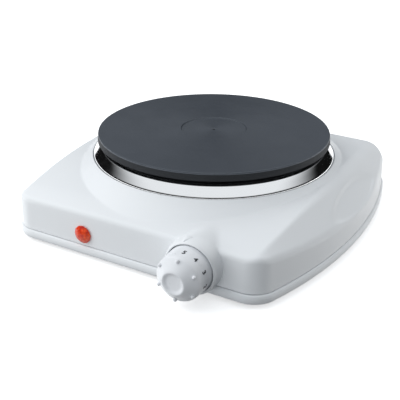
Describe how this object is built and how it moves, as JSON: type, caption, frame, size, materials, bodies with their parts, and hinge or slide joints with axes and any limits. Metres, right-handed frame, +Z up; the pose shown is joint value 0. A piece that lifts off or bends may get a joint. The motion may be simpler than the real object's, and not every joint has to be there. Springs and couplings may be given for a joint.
{
  "type": "single electric hot plate",
  "caption": "Single electric hot plate with a round cast iron plate, arched white casing, front control knob and red pilot lamp.",
  "frame": {"origin": "on the surface that the feet stand on, below the middle of the whole appliance", "axes": "+Z up, front panel and knob towards -Y, +X to the right seen from the front; the cooking plate is centred on X = 0"},
  "size_m": [0.2586, 0.2708, 0.0685],
  "materials": {
    "white_plastic": "semi-gloss moulded",
    "cast_iron": "turned, heat-proof coated",
    "stainless": "polished",
    "zinc_steel": "zinc plated",
    "brass": "plain",
    "ceramic": "unglazed",
    "heating_wire": "oxidised",
    "red_lens": "clear red moulded",
    "lamp_glass": "clear",
    "rubber": "matt",
    "grey_plastic": "matt moulded",
    "lead_red": "silicone sleeve",
    "lead_blue": "silicone sleeve"
  },
  "bodies": {
    "casing": {"top_housing": "white_plastic", "base_tray": "white_plastic", "hotplate": "cast_iron", "spill_ring": "stainless", "heat_pan": "zinc_steel", "coil_cover_plate": "zinc_steel", "centre_stud": "zinc_steel", "clamp_bridge": "zinc_steel", "clamp_washer": "zinc_steel", "clamp_nut": "zinc_steel", "coil_pin_1": "zinc_steel", "coil_pin_2": "zinc_steel", "coil_pin_3": "zinc_steel", "thermostat_bracket": "zinc_steel", "stack_pillar": "zinc_steel", "pillar_nut": "zinc_steel", "fixed_contact": "zinc_steel", "earth_screw": "zinc_steel", "casing_screw_1": "zinc_steel", "casing_screw_2": "zinc_steel", "casing_screw_3": "zinc_steel", "casing_screw_4": "zinc_steel", "thermostat_bush": "brass", "bush_nut": "brass", "fixed_contact_blade": "brass", "bimetal_blade": "brass", "earth_tag": "brass", "terminal_screw_1": "brass", "terminal_screw_2": "brass", "terminal_screw_3": "brass", "coil_terminal_block": "ceramic", "terminal_block": "ceramic", "stack_insulator_1": "ceramic", "stack_insulator_2": "ceramic", "stack_insulator_3": "ceramic", "heating_ring_outer": "heating_wire", "heating_ring_middle": "heating_wire", "heating_ring_inner": "heating_wire", "pilot_lens": "red_lens", "neon_lamp": "lamp_glass", "rubber_foot_1": "rubber", "rubber_foot_2": "rubber", "rubber_foot_3": "rubber", "rubber_foot_4": "rubber", "thermal_cutout": "grey_plastic", "lamp_holder": "grey_plastic", "cord_gland": "grey_plastic", "lead_to_thermostat": "lead_red", "lead_to_coil": "lead_red", "lead_neutral": "lead_blue", "lead_to_lamp": "lead_blue"},
    "knob": {"control_knob": "white_plastic", "knob_spring_clip": "zinc_steel", "thermostat_shaft": "brass"},
    "contact_arm": {"moving_contact_blade": "brass", "moving_contact": "zinc_steel", "cam_follower": "ceramic"}
  },
  "joints": [
    {"name": "knob_turn", "type": "hinge", "parent": "casing", "child": "knob", "pos_m": [0.055, -0.10685, 0.0233], "axis": [0, -1, 0], "range_deg": [0, 168]},
    {"name": "contact_flex", "type": "hinge", "parent": "casing", "child": "contact_arm", "pos_m": [0.07, -0.0946, 0.0298], "axis": [0, 0, 1], "range_deg": [0, 5]}
  ],
  "couplings": [
    {"joint": "contact_flex", "follows": "knob_turn", "ratio": 0.027}
  ]
}
